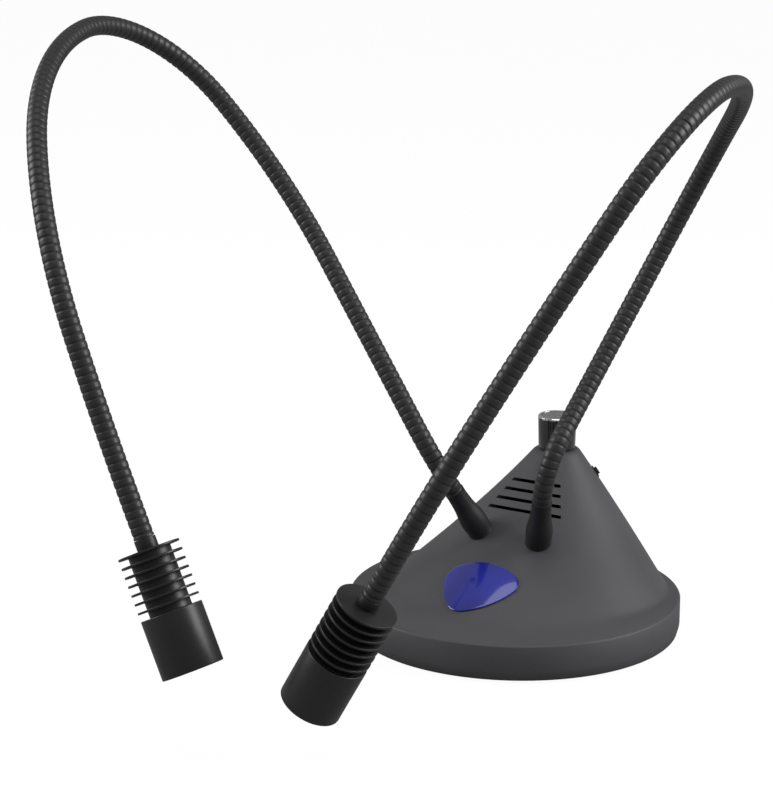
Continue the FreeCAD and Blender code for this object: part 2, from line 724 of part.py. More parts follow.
def ribbed(bend, crest, groove, land, count, plain_end):
    """Hose skin: each rib rises from a groove, runs level and falls to the next groove, in a ruled loft."""
    pitch = bend.length / count
    sections = [bend.circle(0, groove)]
    for number in range(count):
        start = number * pitch
        end_radius = crest if plain_end and number == count - 1 else groove
        sections.append(bend.circle(start + pitch * land / 2, crest))
        sections.append(bend.circle(start + pitch * (1 - land / 2), crest))
        sections.append(bend.circle(start + pitch, end_radius))
    return Part.makeLoft(sections, True, True)


head_frames = {}
spans = {}
for side in SIDES:
    frame = ROOT_FRAMES[side]
    way = frame.Rotation.multVec(UP)
    point = frame.Base + way * val("hose_straight")
    for number in SPANS:
        first = number == SPANS[0]
        last = number == SPANS[-1]
        arriving = direction(val(f"{side}_turn_{number}"), val(f"{side}_rise_{number}"))
        tip = val("hose_tip") if last else 0.0
        ribs = int(val("first_span_ribs" if first else "span_ribs"))
        bend = Bend(point, way, arriving, val("first_span" if first else "span") - tip)
        skin = ribbed(bend, val("hose_radius"), val("hose_groove_radius"), val("hose_land"), ribs, last)
        end, end_way = bend.at(bend.length)
        # the ball or the straight tip is bored by itself, then joined to the bored arc
        bore_radius = val("hose_bore_radius")
        tube = skin.cut(bend.bore(bore_radius, int(val("span_ribs"))))
        tube = tube.cut(Part.makeSphere(val("ball_seat_radius"), point))
        if last:
            full = tip - val("collar_length") - 0.2
            end_piece = Part.makeCylinder(val("hose_radius"), full, end, end_way)
            end_piece = end_piece.fuse(Part.makeCylinder(val("hose_tip_radius"), tip, end, end_way))
            end_piece = end_piece.cut(Part.makeCylinder(bore_radius, tip, end, end_way))
        else:
            # half a ball, which starts where the groove ends
            end_piece = Part.makeSphere(val("hose_groove_radius"), end, end_way, 0, 90)
            end_piece = end_piece.cut(Part.makeCylinder(bore_radius, 6, end, end_way))
        solid = tube.fuse(end_piece)
        span = doc.addObject("Part::Feature", f"{side}_gooseneck_{number}")
        span.Shape = solid.Solids[0] if len(solid.Solids) == 1 else solid
        spans[side, number] = span
        print("junction", side, number, [round(c, 3) for c in point], "way", [round(c, 4) for c in way])
        point = end + end_way * tip
        way = end_way
    head_frames[side] = seat(point, way)
    print("head", side, [round(c, 3) for c in point], "way", [round(c, 4) for c in way])

# Heads: collar, finned sink, snout, lamp and lens


def finned_sink(name, frame):
    """Turned core and spigot with one fin repeated along it."""
    body = doc.addObject("PartDesign::Body", name)
    revolve(body, name + "_core", [
        ("hose_bore_radius", 0), ("core_radius", 0), ("core_radius", "core_length"),
        ("spigot_radius", "core_length"), ("spigot_radius", "core_length + spigot_length"),
        ("hose_bore_radius", "core_length + spigot_length")])
    fin = revolve(body, name + "_fin", ring_outline("core_radius - 1", "fin_radius", 0, "fin_thickness"))
    row = body.newObject("PartDesign::LinearPattern", name + "_fins")
    row.Originals = [fin]
    row.Direction = (fin.Profile[0], ["V_Axis"])
    bind(row, Length="(fin_count - 1) * fin_pitch", Occurrences="fin_count")
    body.Tip = row
    body.Placement = frame
    return body


led_seat = "core_length + spigot_length"
heads = {}
for side, frame in head_frames.items():
    collar = turned(f"{side}_collar", [
        ("collar_bore_radius", "-collar_length"), ("collar_radius", "-collar_length"), ("collar_radius", 0),
        ("collar_bore_radius", 0)], frame)
    heat_sink = finned_sink(f"{side}_heat_sink", frame)
    snout = turned(f"{side}_snout", [
        ("snout_inner_radius", "core_length"), ("snout_radius - snout_chamfer", "core_length"),
        ("snout_radius", "core_length + snout_chamfer"), ("snout_radius", "head_length - snout_chamfer"),
        ("snout_radius - snout_chamfer", "head_length"), ("snout_inner_radius", "head_length")], frame)
    emitter_base = f"{led_seat} + led_board_thickness"
    emitter_top = f"{emitter_base} + led_base_height"
    dome_top = f"{emitter_top} + led_base_radius"
    led_board = cylinder(f"{side}_led_board", "led_board_radius", led_seat, emitter_base, frame)
    led_base = cylinder(f"{side}_led_base", "led_base_radius", emitter_base, emitter_top, frame)
    led_dome = common(f"{side}_led_dome", [
        ball(f"{side}_led_ball", "led_dome_radius", frame, emitter_top),
        cylinder(f"{side}_led_dome_limit", "led_base_radius", emitter_top, dome_top, frame)])
    led_emitter = fuse(f"{side}_led_emitter", [led_base, led_dome])
    lens = common(f"{side}_lens", [
        cylinder(f"{side}_lens_blank", "lens_radius", "lens_face - 9", "lens_face", frame),
        ball(f"{side}_lens_sphere", "lens_sphere_radius", frame, "lens_face + lens_sphere_past_face")])
    lens_ring = turned(f"{side}_lens_ring", ring_outline(
        "lens_ring_inner_radius", "snout_inner_radius", "lens_face", "lens_face + lens_ring_height"), frame)
    heads[side] = {"collar": collar, "heat_sink": heat_sink, "snout": snout, "led_board": led_board,
                   "led_emitter": led_emitter, "lens": lens, "lens_ring": lens_ring}

# Nodes
nodes = {
    "base_shell": (base_shell, "Moulded base shell"),
    "base_plate": (base_plate, "Bottom plate"),
    "base_pad": (base_pad, "Anti-slip pad"),
    "ballast_weight": (ballast_weight, "Ballast weight"),
    "plate_screws": (plate_screws, "Bottom plate screws"),
    "ballast_screws": (ballast_screws, "Ballast screws"),
    "badge": (badge, "Badge"),
    "driver_board": (driver_board, "Driver board"),
    "board_standoffs": (board_standoffs, "Board standoffs"),
    "board_screws": (board_screws, "Board screws"),
    "driver_inductor": (driver_inductor, "Driver inductor"),
    "driver_capacitors": (driver_capacitors, "Driver capacitors"),
    "driver_transistors": (driver_transistors, "Driver transistors"),
    "dimmer_potentiometer": (potentiometer, "Dimmer potentiometer"),
    "potentiometer_nut": (potentiometer_nut, "Potentiometer nut"),
    "potentiometer_shaft": (potentiometer_shaft, "Potentiometer shaft"),
    "knob": (knob, "Dimmer knob"),
    "knob_ring": (knob_ring, "Knob rim ring"),
    "knob_cap": (knob_cap, "Knob cap disc"),
    "power_switch": (power_switch, "Push switch"),
    "switch_button": (switch_button, "Push switch button"),
    "dc_inlet": (dc_inlet, "Power inlet"),
    "inlet_nut": (inlet_nut, "Inlet nut"),
    "root_nuts": (root_nuts, "Gooseneck root nuts"),
}
for side in SIDES:
    title = side.capitalize()
    ferrule, boot, hose_root = root_pieces[side]
    nodes[f"{side}_root_ferrule"] = (ferrule, f"{title} root ferrule")
    nodes[f"{side}_boot"] = (boot, f"{title} rubber boot")
    nodes[f"{side}_gooseneck_root"] = (hose_root, f"{title} gooseneck root")
    for number in SPANS:
        nodes[f"{side}_gooseneck_{number}"] = (spans[side, number], f"{title} gooseneck span {number}")
    for piece, item in heads[side].items():
        nodes[f"{side}_{piece}"] = (item, f"{title} " + piece.replace("_", " "))

for item, label in nodes.values():
    item.Label = label
doc.recompute()

for thing in doc.Objects:
    assert not {"Invalid", "Error"} & set(thing.State), f"{thing.Name}: {thing.State}"
for name, (item, label) in nodes.items():
    assert not item.Shape.isNull() and item.Shape.isValid(), f"{name}: shape not valid"
    assert item.Shape.Solids, f"{name}: no solid"

os.makedirs("parts", exist_ok=True)
for name, (item, label) in nodes.items():
    item.Shape.exportStep(f"parts/{name}.step")
print(len(nodes), "nodes written")
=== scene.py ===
import json
import math

import bmesh
import bpy
from mathutils import Matrix, Vector


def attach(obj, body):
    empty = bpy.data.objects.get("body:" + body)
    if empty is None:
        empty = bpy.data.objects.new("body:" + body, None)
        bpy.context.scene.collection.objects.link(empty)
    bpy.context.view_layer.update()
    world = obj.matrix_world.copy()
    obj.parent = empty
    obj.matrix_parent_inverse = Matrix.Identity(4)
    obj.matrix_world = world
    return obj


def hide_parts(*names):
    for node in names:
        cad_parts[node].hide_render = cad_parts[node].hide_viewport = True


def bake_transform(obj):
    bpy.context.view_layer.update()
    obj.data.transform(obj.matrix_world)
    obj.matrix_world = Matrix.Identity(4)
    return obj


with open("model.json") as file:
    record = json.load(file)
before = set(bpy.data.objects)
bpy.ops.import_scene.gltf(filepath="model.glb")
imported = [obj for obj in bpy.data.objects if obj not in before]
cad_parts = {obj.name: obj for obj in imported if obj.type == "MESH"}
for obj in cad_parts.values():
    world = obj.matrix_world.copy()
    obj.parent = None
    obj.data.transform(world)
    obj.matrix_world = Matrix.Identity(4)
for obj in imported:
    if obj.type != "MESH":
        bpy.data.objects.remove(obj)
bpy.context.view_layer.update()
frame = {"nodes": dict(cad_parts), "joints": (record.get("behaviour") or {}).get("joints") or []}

# Camera
# A long lens that stands where the photograph was taken from, to the right of the front and a bit above.
# Sizes in this file are millimetres, times MM where Blender takes metres. Table and lamps are in metres.
MM = 0.001
SENSOR = 36
LENS = 107.45
FARTHEST = 20
CAMERA_PLACE = Vector((498.57, -829.76, 343.71))
CAMERA_TARGET = Vector((-19.65, -68.35, 110.87))


def seat(point, way):
    """A frame at a point whose own Z looks along a direction."""
    return Matrix.Translation(point) @ way.to_track_quat("Z", "Y").to_matrix().to_4x4()


camera_data = bpy.data.cameras.new("camera")
camera_data.sensor_width = SENSOR
camera_data.lens = LENS
camera_data.clip_end = FARTHEST
camera = bpy.data.objects.new("camera", camera_data)
camera.matrix_world = seat(CAMERA_PLACE * MM, CAMERA_PLACE - CAMERA_TARGET)
bpy.context.scene.collection.objects.link(camera)
bpy.context.scene.camera = camera
bpy.context.scene.view_settings.view_transform = "Standard"

# Table and light
# A matt white table in a white room, lit by large soft lamps on both sides and above. What the lens sees of
# the room is plain white. What lights the object is weaker, so that its dark plastic keeps its shades.
TABLE_HALF = 6.0
TABLE_DROP = 0.0002
TABLE_PAINT = (0.86, 0.86, 0.86, 1)
TABLE_DIM = (0.35, 0.35, 0.35, 1)
TABLE_SHARE = 0.93
TABLE_GLOW = 1.03
ROOM_LIGHT = 0.30
WHITE = (1, 1, 1, 1)
NOISE_SHARE = 0.5
LAMPS = {
    "right_light": {"place": (1.05, 0.50, 0.75), "size": 0.8, "power": 13},
    "left_light": {"place": (-1.15, -0.65, 0.7), "size": 0.8, "power": 10},
    "top_light": {"place": (0.1, -0.3, 1.5), "size": 0.9, "power": 3}}
LAMP_TARGET = Vector((0, -0.05, 0.08))


class Signal:
    """A node's socket that Python arithmetic works on."""

    def __init__(self, tree, socket):
        self.tree = tree
        self.socket = socket

    def maths(self, operation, *values):
        """Adds a Math node that works on values or signals."""
        return self.tree.node("ShaderNodeMath", {"operation": operation}, dict(enumerate(values)))

    def __add__(self, other):
        return self.maths("ADD", self, other)

    def __radd__(self, other):
        return self.maths("ADD", other, self)

    def __sub__(self, other):
        return self.maths("SUBTRACT", self, other)

    def __rsub__(self, other):
        return self.maths("SUBTRACT", other, self)

    def __mul__(self, other):
        return self.maths("MULTIPLY", self, other)

    def __rmul__(self, other):
        return self.maths("MULTIPLY", other, self)

    def __truediv__(self, other):
        return self.maths("DIVIDE", self, other)

    def __rtruediv__(self, other):
        return self.maths("DIVIDE", other, self)

    def __pow__(self, other):
        return self.maths("POWER", self, other)

    def __rpow__(self, other):
        return self.maths("POWER", other, self)

    def __abs__(self):
        return self.maths("ABSOLUTE", self)

    def fraction(self):
        return self.maths("FRACT", self)

    def sine(self):
        return self.maths("SINE", self)

    def above(self, low, high):
        """0 below low, 1 above high, and a smooth rise between."""
        return self.tree.node("ShaderNodeMapRange", {"interpolation_type": "SMOOTHSTEP"},
                              {"Value": self, "From Min": low, "From Max": high})


class Tree:
    """A node tree whose nodes all come from one method."""

    def __init__(self, tree):
        self.tree = tree
        tree.nodes.clear()

    def node(self, kind, settings=None, inputs=None, output=0):
        """Adds a node with its settings, feeds its sockets with values or signals, and gives one output."""
        made = self.tree.nodes.new(kind)
        for key, value in (settings or {}).items():
            setattr(made, key, value)
        for key, value in (inputs or {}).items():
            if isinstance(value, Signal):
                self.tree.links.new(value.socket, made.inputs[key])
            else:
                made.inputs[key].default_value = value
        return Signal(self, made.outputs[output]) if made.outputs else None

    def looked_at(self):
        """1 for what the lens sees, straight or through glass, and 0 for light on its way."""
        straight, glass = [self.node("ShaderNodeLightPath", output=f"Is {kind} Ray")
                           for kind in ("Camera", "Transmission")]
        return straight.maths("MAXIMUM", straight, glass)


class Finish(Tree):
    """A material, whose patterns lie in the object's own space."""

    def __init__(self, name):
        self.material = bpy.data.materials.new(name)
        self.material.use_nodes = True
        super().__init__(self.material.node_tree)

    def place(self):
        """Where on the object a point lies, in metres."""
        return self.node("ShaderNodeTexCoord", output="Object")

    def noise(self, size, detail=2.0):
        """Noise whose features are about size millimetres across."""
        return self.node("ShaderNodeTexNoise", {}, {
            "Vector": self.place(), "Scale": NOISE_SHARE / (size * MM), "Detail": detail})

    def tint(self, amount, first, second):
        """A mix of two colours."""
        return self.node("ShaderNodeMix", {"data_type": "RGBA"}, {0: amount, 6: first, 7: second}, 2)

    def bump(self, height, depth, strength=1.0):
        """A relief of a depth in millimetres."""
        return self.node("ShaderNodeBump", {}, {
            "Height": height, "Distance": depth * MM, "Strength": strength})

    def surface(self, **sockets):
        """Ends the material in a Principled shader; an underscore in a name stands for a space."""
        inputs = {name.replace("_", " "): value for name, value in sockets.items()}
        shader = self.node("ShaderNodeBsdfPrincipled", {}, inputs)
        self.node("ShaderNodeOutputMaterial", {}, {"Surface": shader})
        return self.material


def rgb(red, green, blue):
    """An opaque colour."""
    return (red, green, blue, 1)


table_mesh = bpy.data.meshes.new("table")
table_corners = [(-TABLE_HALF, -TABLE_HALF, 0), (TABLE_HALF, -TABLE_HALF, 0),
                 (TABLE_HALF, TABLE_HALF, 0), (-TABLE_HALF, TABLE_HALF, 0)]
table_mesh.from_pydata(table_corners, [], [(0, 1, 2, 3)])
table = bpy.data.objects.new("table", table_mesh)
table.location.z = -TABLE_DROP
bpy.context.scene.collection.objects.link(table)
paint = Finish("table_paint")
seen = paint.looked_at()
matt = paint.node("ShaderNodeBsdfDiffuse", {}, {"Color": paint.tint(seen, TABLE_DIM, TABLE_PAINT)})
glow = paint.node("ShaderNodeEmission", {}, {"Color": WHITE, "Strength": TABLE_GLOW})
table_mix = paint.node("ShaderNodeMixShader", {}, {0: seen * TABLE_SHARE, 1: matt, 2: glow})
paint.node("ShaderNodeOutputMaterial", {}, {"Surface": table_mix})
table_mesh.materials.append(paint.material)

world = bpy.data.worlds.new("room")
world.use_nodes = True
room = Tree(world.node_tree)
room_light = room.node("ShaderNodeBackground", {}, {"Color": WHITE, "Strength": ROOM_LIGHT})
room_shown = room.node("ShaderNodeBackground", {}, {"Color": WHITE, "Strength": 1.0})
room_mix = room.node("ShaderNodeMixShader", {}, {0: room.looked_at(), 1: room_light, 2: room_shown})
room.node("ShaderNodeOutputWorld", {}, {"Surface": room_mix})
bpy.context.scene.world = world

for name, lamp in LAMPS.items():
    lamp_data = bpy.data.lights.new(name, "AREA")
    lamp_data.shape = "DISK"
    lamp_data.size = lamp["size"]
    lamp_data.energy = lamp["power"]
    light = bpy.data.objects.new(name, lamp_data)
    light.matrix_world = seat(Vector(lamp["place"]), Vector(lamp["place"]) - LAMP_TARGET)
    bpy.context.scene.collection.objects.link(light)

# Moulded base shell
# One moulding in dark grey ABS with a fine spark-eroded grain: a leaning cone that runs into a nearly flat
# shoulder and a deep rim with a crisp top edge. Four slots across its front let the driver's warmth out.
FRONT_TURN = 2.5
CONE_LOW = Vector((60.2, 9.0, 15.9))
CONE_MID = Vector((33.1, 24.7, 43.8))
CONE_TOP = Vector((9.55, 33.4, 71.1))
CONE_CREST = 0.985
CONE_FOOT = 0.16
CONE_SEARCH = (-0.25, 1.0)
CONE_RINGS = 44
SHAFT_HOLE = 3.6
CREST_WALL = 2.5
CREST_ROUND = ((0.7, 0.0), (0.25, 0.1))
SHOULDER_REACH = 50.0
SHOULDER_TOP = 17.2
SHOULDER_RINGS = 18
FILLET = 0.45
RIM_REACH = 69.3
RIM_TOP = 15.9
RIM_START = 69.0
# the rim's section as radius and height: over its edge, down, round the foot and up inside
RIM_PROFILE = ((69.2, 15.88), (69.5, 15.78), (69.8, 15.55), (70.0, 15.25), (70.0, 4.9), (69.9, 4.15),
               (69.1, 1.25), (68.85, 1.0), (67.95, 1.0), (67.8, 1.15), (67.8, 13.7))
INSIDE_SHARES = (0.0, 0.12, 0.25, 0.4, 0.55, 0.7, 0.85, 1.0)
INSIDE_FOOT = 13.7
INSIDE_WALL = (3.0, 2.6)
INSIDE_DROP = (0.6, 2.5)
AROUND = 180
VENT_COUNT = 4
VENT_GAP = 1.45
VENT_PITCH = 3.24
VENT_TOP = 61.07
VENT_HALF_ANGLE = 38.9
VENT_DROP = 0.325
VENT_NEAR = 6
VENT_FAR = 36
VENT_STEPS = 24
SHARP_ANGLE = 35
SHELL_GREY = rgb(0.070, 0.070, 0.075)
PATCH_SIZE = 30
PATCH_LOW = 0.3
PATCH_HIGH = 0.7
PATCH_TONE = 0.12
PATCH_ROUGH = 0.08
GRAIN_ROUGH = 0.04
SOFT_GLOSS = 0.45


class Recipe(Tree):
    """A Geometry Nodes tree with named inputs, which turns a mesh into a plain new one."""

    def __init__(self, name, inputs):
        super().__init__(bpy.data.node_groups.new(name, "GeometryNodeTree"))
        for label, kind in {"Geometry": "Geometry", **inputs, "Material": "Material"}.items():
            self.tree.interface.new_socket(label, in_out="INPUT", socket_type="NodeSocket" + kind)
        self.tree.interface.new_socket("Geometry", in_out="OUTPUT", socket_type="NodeSocketGeometry")

    def given(self, label):
        """What one of the named inputs brings."""
        return self.node("NodeGroupInput", output=label)

    def ends_in(self, geometry):
        """Closes the tree: every copy made real, then painted."""
        real = self.node("GeometryNodeRealizeInstances", {}, {"Geometry": geometry})
        painted = self.node("GeometryNodeSetMaterial", {}, {
            "Geometry": real, "Material": self.given("Material")})
        self.node("NodeGroupOutput", {}, {"Geometry": painted})

    def run(self, mesh, values):
        """Works the recipe on a mesh, with values for its named inputs, and gives the new mesh."""
        carrier = bpy.data.objects.new("carrier", mesh)
        bpy.context.scene.collection.objects.link(carrier)
        modifier = carrier.modifiers.new("recipe", "NODES")
        modifier.node_group = self.tree
        for item in self.tree.interface.items_tree:
            if item.in_out == "INPUT" and item.name in values:
                modifier[item.identifier] = values[item.name]
        ready = carrier.evaluated_get(bpy.context.evaluated_depsgraph_get())
        result = bpy.data.meshes.new_from_object(ready)
        bpy.data.objects.remove(carrier)
        return result


def copies_in_a_row():
    """Recipe: the same shape again and again, one step further each time."""
    recipe = Recipe("copies_in_a_row", {"Count": "Int", "Step": "Vector"})
    line = recipe.node("GeometryNodeMeshLine", {"mode": "OFFSET"}, {
        "Count": recipe.given("Count"), "Offset": recipe.given("Step")})
    recipe.ends_in(recipe.node("GeometryNodeInstanceOnPoints", {}, {
        "Points": line, "Instance": recipe.given("Geometry")}))
    return recipe


def cone_circle(share):
    """Radius, distance back and height of the cone's circle at a share of the way up."""
    return (CONE_LOW * (1 - share) * (1 - 2 * share) + CONE_MID * 4 * share * (1 - share)
            + CONE_TOP * share * (2 * share - 1))


def crossing(low, high, past, halvings=36):
    """The value between two bounds where a test on it turns true."""
    for _ in range(halvings):
        middle = (low + high) / 2
        if past(middle):
            high = middle
        else:
            low = middle
    return (low + high) / 2


def cone_height(x, y):
    """Height of the cone's skin above a point, or a low value outside it."""

    def outside(share):
        radius, back, _ = cone_circle(share)
        return math.hypot(x, y - back) > radius

    return cone_circle(crossing(*CONE_SEARCH, outside)).z


def shoulder_height(reach):
    """Level as far as SHOULDER_REACH, then falling a little to the rim."""
    share = max(reach - SHOULDER_REACH, 0) / (RIM_REACH - SHOULDER_REACH)
    return SHOULDER_TOP + (RIM_TOP - SHOULDER_TOP) * share


def skin_height(x, y):
    """The higher of cone and shoulder, with a small fillet where they meet."""
    cone, shoulder = cone_height(x, y), shoulder_height(math.hypot(x, y))
    top = max(cone, shoulder)
    return top + FILLET * math.log(math.exp((cone - top) / FILLET) + math.exp((shoulder - top) / FILLET))


def mesh_from(build, name, place=None):
    """Ends a bmesh: normals outwards, then millimetres to metres, then into its place."""
    bmesh.ops.recalc_face_normals(build, faces=build.faces)
    build.transform(Matrix.Scale(MM, 4))
    if place:
        build.transform(place)
    mesh = bpy.data.meshes.new(name)
    build.to_mesh(mesh)
    build.free()
    return mesh


def join_rings(build, rings, closed=False):
    """Faces between rings that follow each other, and from the last to the first where closed."""
    pairs = list(zip(rings, rings[1:])) + ([(rings[-1], rings[0])] if closed else [])
    for ring, following in pairs:
        for step in range(len(ring)):
            other = (step + 1) % len(ring)
            corners = []
            for vert in (ring[step], ring[other], following[other], following[step]):
                if vert not in corners:
                    corners.append(vert)
            if len(corners) > 2:
                build.faces.new(corners)


def shell_mesh():
    """The shell from its shaft hole down the cone, over shoulder and rim, and up again inside."""
    build = bmesh.new()
    rings = []

    def ring(radius, back, height):
        """height is a number or a function of x and y."""
        verts = []
        for step in range(AROUND):
            angle = 2 * math.pi * step / AROUND
            x, y = radius * math.cos(angle), back + radius * math.sin(angle)
            verts.append(build.verts.new((x, y, height(x, y) if callable(height) else height)))
        rings.append(verts)

    top_radius, top_back, top = CONE_TOP
    ring(SHAFT_HOLE, top_back, top - CREST_WALL)
    ring(SHAFT_HOLE, top_back, top)
    for inset, drop in CREST_ROUND:
        ring(top_radius - inset, top_back, top - drop)
    for number in range(CONE_RINGS):
        ring(*cone_circle(CONE_CREST - number * (CONE_CREST - CONE_FOOT) / (CONE_RINGS - 1)))
    foot_radius, foot_back, _ = cone_circle(CONE_FOOT)
    for number in range(1, SHOULDER_RINGS + 1):
        share = number / SHOULDER_RINGS
        ring(foot_radius + (RIM_START - foot_radius) * share, foot_back * (1 - share), skin_height)
    for radius, height in RIM_PROFILE:
        ring(radius, 0, height)
    for share in INSIDE_SHARES:
        radius, back, height = cone_circle(share)
        wall = INSIDE_WALL[0] + (INSIDE_WALL[1] - INSIDE_WALL[0]) * share
        drop = INSIDE_DROP[0] + (INSIDE_DROP[1] - INSIDE_DROP[0]) * share
        ring(radius - wall, back, height - drop if share else INSIDE_FOOT)
    join_rings(build, rings, closed=True)
    return mesh_from(build, "base_shell_skin")


def vent_mesh():
    """What one slot takes out: a thin flat wedge that falls towards the inside."""
    share = (VENT_TOP - CONE_MID.z) / (CONE_TOP.z - CONE_MID.z)
    surface, back, _ = CONE_MID.lerp(CONE_TOP, share)
    section = ((VENT_NEAR, -VENT_GAP / 2), (VENT_FAR, -VENT_GAP / 2), (VENT_FAR, VENT_GAP / 2),
               (VENT_NEAR, VENT_GAP / 2))
    build = bmesh.new()
    rows = []
    for step in range(VENT_STEPS + 1):
        aside = math.radians(VENT_HALF_ANGLE * (2 * step / VENT_STEPS - 1))
        angle = aside + math.radians(FRONT_TURN - 90)
        row = []
        for reach, side in section:
            height = VENT_TOP + (reach * math.cos(aside) - surface) * VENT_DROP + side
            row.append(build.verts.new((reach * math.cos(angle), back + reach * math.sin(angle), height)))
        rows.append(row)
    join_rings(build, rows)
    build.faces.new(rows[0])
    build.faces.new(reversed(rows[-1]))
    return mesh_from(build, "vent_slice")


def smooth(mesh, angle=SHARP_ANGLE):
    """Smooth shading with sharp edges where faces meet at more than an angle."""
    mesh.polygons.foreach_set("use_smooth", [True] * len(mesh.polygons))
    mesh.set_sharp_from_angle(angle=math.radians(angle))


def piece_from(name, mesh, material, body, replaced):
    """Links a finished mesh as a piece that rides on a body and stands for a CAD node."""
    piece = bpy.data.objects.new(name, mesh)
    bpy.context.scene.collection.objects.link(piece)
    mesh.materials.clear()
    mesh.materials.append(material)
    smooth(mesh)
    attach(piece, body)
    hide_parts(replaced)


def without(mesh, cutter_mesh):
    """A mesh with a cutter's volume taken out."""
    piece = bpy.data.objects.new("whole", mesh)
    cutter = bpy.data.objects.new("cutter", cutter_mesh)
    for thing in (piece, cutter):
        bpy.context.scene.collection.objects.link(thing)
    modifier = piece.modifiers.new("cut", "BOOLEAN")
    modifier.operation = "DIFFERENCE"
    modifier.solver = "EXACT"
    modifier.object = cutter
    ready = piece.evaluated_get(bpy.context.evaluated_depsgraph_get())
    result = bpy.data.meshes.new_from_object(ready)
    bpy.data.objects.remove(piece)
    bpy.data.objects.remove(cutter)
    return result


def shade(colour, share):
    """A colour made darker or lighter by a share."""
    return rgb(*(min(part * share, 1) for part in colour[:3]))


def moulded(name, colour, rough, grain=0.35, depth=0.04):
    """Plastic from a textured mould: a fine even grain, and a faint change of tone from handling."""
    finish = Finish(name)
    fine = finish.noise(grain, 3.0)
    broad = finish.noise(PATCH_SIZE, 3.0)
    darker, lighter = shade(colour, 1 - PATCH_TONE), shade(colour, 1 + PATCH_TONE)
    return finish.surface(
        Base_Color=finish.tint(broad.above(PATCH_LOW, PATCH_HIGH), darker, lighter),
        Roughness=broad * PATCH_ROUGH + (rough - PATCH_ROUGH / 2) + fine * GRAIN_ROUGH,
        Specular_IOR_Level=SOFT_GLOSS, Normal=finish.bump(fine, depth, 0.6))


shell_grey = moulded("shell_grey_abs", SHELL_GREY, rough=0.5)
row_of = copies_in_a_row()
# each lower slot lies further down the leaning cone, where the skin is further from the cone's axis
vent_spread = (CONE_MID - CONE_TOP) / (CONE_TOP.z - CONE_MID.z) * VENT_PITCH
vent_step = Vector((0, vent_spread.y, -VENT_PITCH - vent_spread.x * VENT_DROP)) * MM
vents = row_of.run(vent_mesh(), {"Count": VENT_COUNT, "Step": vent_step, "Material": shell_grey})
piece_from("moulded_shell", without(shell_mesh(), vents), shell_grey, "base", "base_shell")

# Underside
# A steel plate screwed into the shell, an anti-slip rubber sheet over it with holes for the screws, and a
# cast disc above it, which keeps the long arms from tipping the base.
PAD_BLACK = rgb(0.022, 0.022, 0.023)
PLATE_BLACK = rgb(0.03, 0.03, 0.032)
CASTING_GREY = rgb(0.05, 0.05, 0.052)
ZINC = rgb(0.55, 0.56, 0.58)
SCUFF_SIZE = 0.8
SCUFF_TONE = 0.9
SCUFF_ROUGH = 0.12
SCUFF_DEPTH = 0.01


def dress(node, material):
    """Gives a CAD node its finish."""
    piece = frame["nodes"][node]
    piece.data.materials.clear()
    piece.data.materials.append(material)


def plated(name, colour, rough):
    """Turned or pressed metal with a thin plating: bright, with slight wear."""
    finish = Finish(name)
    scuff = finish.noise(SCUFF_SIZE, 4.0)
    return finish.surface(
        Base_Color=finish.tint(scuff, shade(colour, SCUFF_TONE), colour), Metallic=1.0,
        Roughness=scuff * SCUFF_ROUGH + rough, Normal=finish.bump(scuff, SCUFF_DEPTH))


dress("base_pad", moulded("pad_rubber", PAD_BLACK, rough=0.75, grain=1.2, depth=0.2))
dress("base_plate", moulded("plate_black_paint", PLATE_BLACK, rough=0.42, grain=0.6))
dress("ballast_weight", moulded("ballast_casting", CASTING_GREY, rough=0.7, grain=1.6, depth=0.5))
zinc_plated = plated("zinc_plated_steel", ZINC, rough=0.3)
dress("plate_screws", zinc_plated)
dress("ballast_screws", zinc_plated)

# Badge
# A rounded triangle in dark blue under a dome of clear resin, stuck on the front of the cone with a thin
# film of glue. Its face is bare.
BADGE_PLACE = Vector((0, -33.3, 26.9))
BADGE_AXIS = Vector((0, 17.25, 0))
BADGE_LEAN = 32.1
BADGE_CORNERS = ((Vector((-11.0, 4.0)), 6.2), (Vector((10.3, 4.2)), 5.9), (Vector((-3.2, -6.8)), 7.6))
BADGE_SIDE = 29.0
BADGE_MIDDLE = Vector((0, 1.0))
BADGE_SUNK = 0.5
BADGE_EDGE = 0.7
BADGE_CREST = 1.4
# the rounding of the edge as shares of the way out and depths, then where the dome's rings lie
BADGE_ROUND = ((1.0, 0.3), (0.995, 0.1), (0.98, 0.0))
DOME_SHARES = (0.93, 0.86, 0.76, 0.64, 0.5, 0.35, 0.18)
DOME_EDGE = 0.98
DOME_POWER = 2.2
ARC_STEPS = 24
SKIN_SEARCH = 8.0
SKIN_HALVINGS = 24
BADGE_BLUE = rgb(0.020, 0.028, 0.36)
BADGE_DARK = rgb(0.010, 0.014, 0.22)
UP = Vector((0, 0, 1))


def arc(centre, radius, start, end):
    """Points on a clockwise arc between the directions of two vectors, without the last."""
    first, last = (math.degrees(math.atan2(way.y, way.x)) for way in (start, end))
    sweep = (last - first) % -360
    points = []
    for step in range(ARC_STEPS):
        angle = math.radians(first + sweep * step / ARC_STEPS)
        points.append(centre + Vector((math.cos(angle), math.sin(angle))) * radius)
    return points


